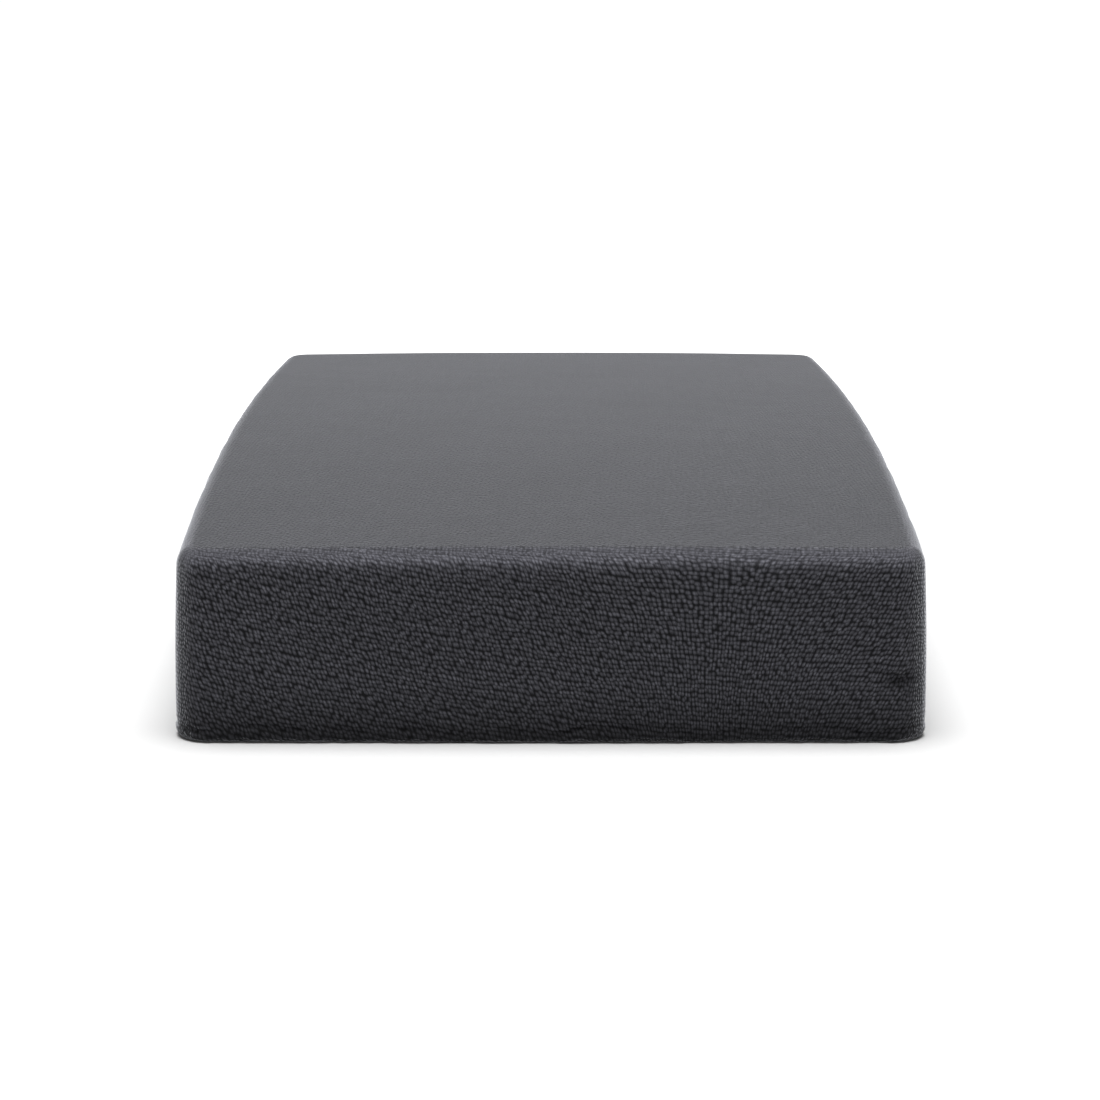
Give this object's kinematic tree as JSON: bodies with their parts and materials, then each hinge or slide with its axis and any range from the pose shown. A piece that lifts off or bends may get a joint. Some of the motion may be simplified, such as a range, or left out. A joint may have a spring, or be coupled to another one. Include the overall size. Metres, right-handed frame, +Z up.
{
  "type": "futon mattress",
  "caption": "Thick rectangular futon mattress with a domed top, a foam and batting fill in a liner, and a zip-off pile-fabric cover with a sliding zip pull.",
  "frame": {"origin": "middle of the underside, on the surface that the mattress lies on", "axes": "+X across the mattress, +Y along it towards the end with the zip, +Z up"},
  "size_m": [1.02, 1.9094, 0.2826],
  "materials": {
    "pile_cover": "matt charcoal pile fabric, short slanted tufts in diagonal rows",
    "base_fabric": "matt plain-woven polyester",
    "liner_cloth": "unbleached plain-woven cotton",
    "batting": "loose off-white fibre",
    "foam": "open-cell polyurethane foam, matt cream",
    "zip_tape": "herringbone-woven polyester tape",
    "zip_coil": "semi-gloss extruded nylon",
    "zip_metal": "black-plated die-cast zinc, satin",
    "label_ribbon": "blank satin ribbon"
  },
  "bodies": {
    "mattress": {"cover_shell": "pile_cover", "cover_base_panel": "base_fabric", "liner_base_panel": "liner_cloth", "liner_border": "liner_cloth", "liner_top_panel": "liner_cloth", "batting_bottom": "batting", "batting_middle": "batting", "batting_top": "batting", "foam_lower": "foam", "foam_upper": "foam", "zip_tape_upper": "zip_tape", "zip_tape_lower": "zip_tape", "zip_coil_upper": "zip_coil", "zip_coil_lower": "zip_coil", "zip_stop_open_end": "zip_coil", "zip_stop_closed_end": "zip_coil", "care_label": "label_ribbon"},
    "zip_slider": {"zip_slider": "zip_metal"},
    "zip_pull": {"zip_pull": "zip_metal"}
  },
  "joints": [
    {"name": "slider_travel", "type": "slide", "parent": "mattress", "child": "zip_slider", "axis": [-1, 0, 0], "range_m": [0, 0.822]},
    {"name": "pull_swing", "type": "hinge", "parent": "zip_slider", "child": "zip_pull", "pos_m": [0.411, 0.9553, 0.045], "axis": [0, 0, -1], "range_deg": [0, 180]}
  ]
}
